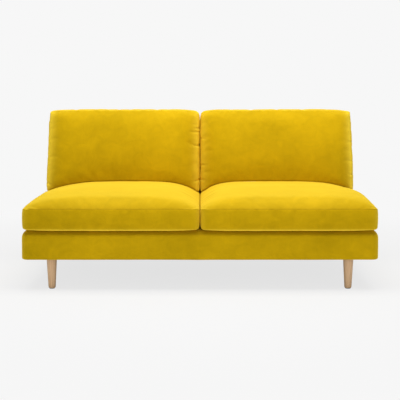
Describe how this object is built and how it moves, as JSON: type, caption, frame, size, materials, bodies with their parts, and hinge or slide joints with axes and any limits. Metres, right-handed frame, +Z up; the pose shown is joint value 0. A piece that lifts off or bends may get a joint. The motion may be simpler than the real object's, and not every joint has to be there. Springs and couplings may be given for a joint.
{
  "type": "armless sofa",
  "caption": "Armless upholstered two-seat sofa in mustard velvet with loose seat and back cushions on tapered oak legs.",
  "frame": {"origin": "on the floor under the middle of the sofa's box", "axes": "+X to the right seen from the front, -Y out of the front, +Z up"},
  "size_m": [1.7, 0.8999, 0.8434],
  "materials": {
    "velvet": "matte",
    "oak": "satin",
    "frame_timber": "matte",
    "foam": "matte",
    "fibre": "matte",
    "deck_cloth": "matte",
    "black_lining": "matte",
    "grey_felt": "matte",
    "webbing": "matte",
    "board": "matte",
    "zinc_steel": "satin",
    "spring_steel": "satin",
    "zip_tape": "matte",
    "glide_plastic": "matte"
  },
  "bodies": {
    "sofa": {"back_cross_rails": "frame_timber", "back_inner_cover": "velvet", "back_outer_cover": "velvet", "back_padding_front": "foam", "back_padding_sides": "foam", "back_padding_top": "foam", "back_post_centre": "frame_timber", "back_post_left": "frame_timber", "back_post_right": "frame_timber", "back_top_rail": "frame_timber", "back_webbing": "webbing", "base_cover_front": "velvet", "base_cover_left": "velvet", "base_cover_right": "velvet", "base_padding_front": "foam", "base_padding_sides": "foam", "centre_rail": "frame_timber", "corner_blocks": "frame_timber", "deck_cloth": "deck_cloth", "dust_cover": "black_lining", "frame_bolts": "zinc_steel", "frame_nuts": "zinc_steel", "front_rail": "frame_timber", "leg_bolts": "zinc_steel", "leg_front_left": "oak", "leg_front_right": "oak", "leg_glides": "glide_plastic", "leg_plate_screws": "zinc_steel", "leg_plates": "zinc_steel", "leg_rear_left": "oak", "leg_rear_right": "oak", "platform_pad": "foam", "rear_rail": "frame_timber", "seat_rail": "frame_timber", "seat_springs": "spring_steel", "side_rail_left": "frame_timber", "side_rail_right": "frame_timber", "spring_clips": "zinc_steel", "spring_felt": "grey_felt", "tack_board": "board"},
    "seat_cushion_left": {"seat_cushion_cover_left": "velvet", "seat_cushion_wrap_left": "fibre", "seat_cushion_core_left": "foam", "seat_cushion_zip_tape_left": "zip_tape"},
    "back_cushion_left": {"back_cushion_cover_left": "velvet", "back_cushion_wrap_left": "fibre", "back_cushion_core_left": "foam", "back_cushion_zip_tape_left": "zip_tape"},
    "seat_cushion_right": {"seat_cushion_cover_right": "velvet", "seat_cushion_wrap_right": "fibre", "seat_cushion_core_right": "foam", "seat_cushion_zip_tape_right": "zip_tape"},
    "back_cushion_right": {"back_cushion_cover_right": "velvet", "back_cushion_wrap_right": "fibre", "back_cushion_core_right": "foam", "back_cushion_zip_tape_right": "zip_tape"},
    "seat_zip_slider_left": {"seat_cushion_zip_slider_left": "zinc_steel"},
    "back_zip_slider_left": {"back_cushion_zip_slider_left": "zinc_steel"},
    "seat_zip_slider_right": {"seat_cushion_zip_slider_right": "zinc_steel"},
    "back_zip_slider_right": {"back_cushion_zip_slider_right": "zinc_steel"}
  },
  "joints": [
    {"name": "seat_cushion_left_pull", "type": "slide", "parent": "sofa", "child": "seat_cushion_left", "axis": [0, -1, 0], "range_m": [0, 0.74]},
    {"name": "back_cushion_left_lift", "type": "slide", "parent": "sofa", "child": "back_cushion_left", "axis": [0, 0.1908, 0.9816], "range_m": [0, 0.46]},
    {"name": "seat_cushion_right_pull", "type": "slide", "parent": "sofa", "child": "seat_cushion_right", "axis": [0, -1, 0], "range_m": [0, 0.74]},
    {"name": "back_cushion_right_lift", "type": "slide", "parent": "sofa", "child": "back_cushion_right", "axis": [0, 0.1908, 0.9816], "range_m": [0, 0.46]},
    {"name": "seat_zip_left", "type": "slide", "parent": "seat_cushion_left", "child": "seat_zip_slider_left", "axis": [-1, 0, 0], "range_m": [0, 0.51]},
    {"name": "back_zip_left", "type": "slide", "parent": "back_cushion_left", "child": "back_zip_slider_left", "axis": [-1, 0, 0], "range_m": [0, 0.51]},
    {"name": "seat_zip_right", "type": "slide", "parent": "seat_cushion_right", "child": "seat_zip_slider_right", "axis": [1, 0, 0], "range_m": [0, 0.51]},
    {"name": "back_zip_right", "type": "slide", "parent": "back_cushion_right", "child": "back_zip_slider_right", "axis": [1, 0, 0], "range_m": [0, 0.51]}
  ]
}
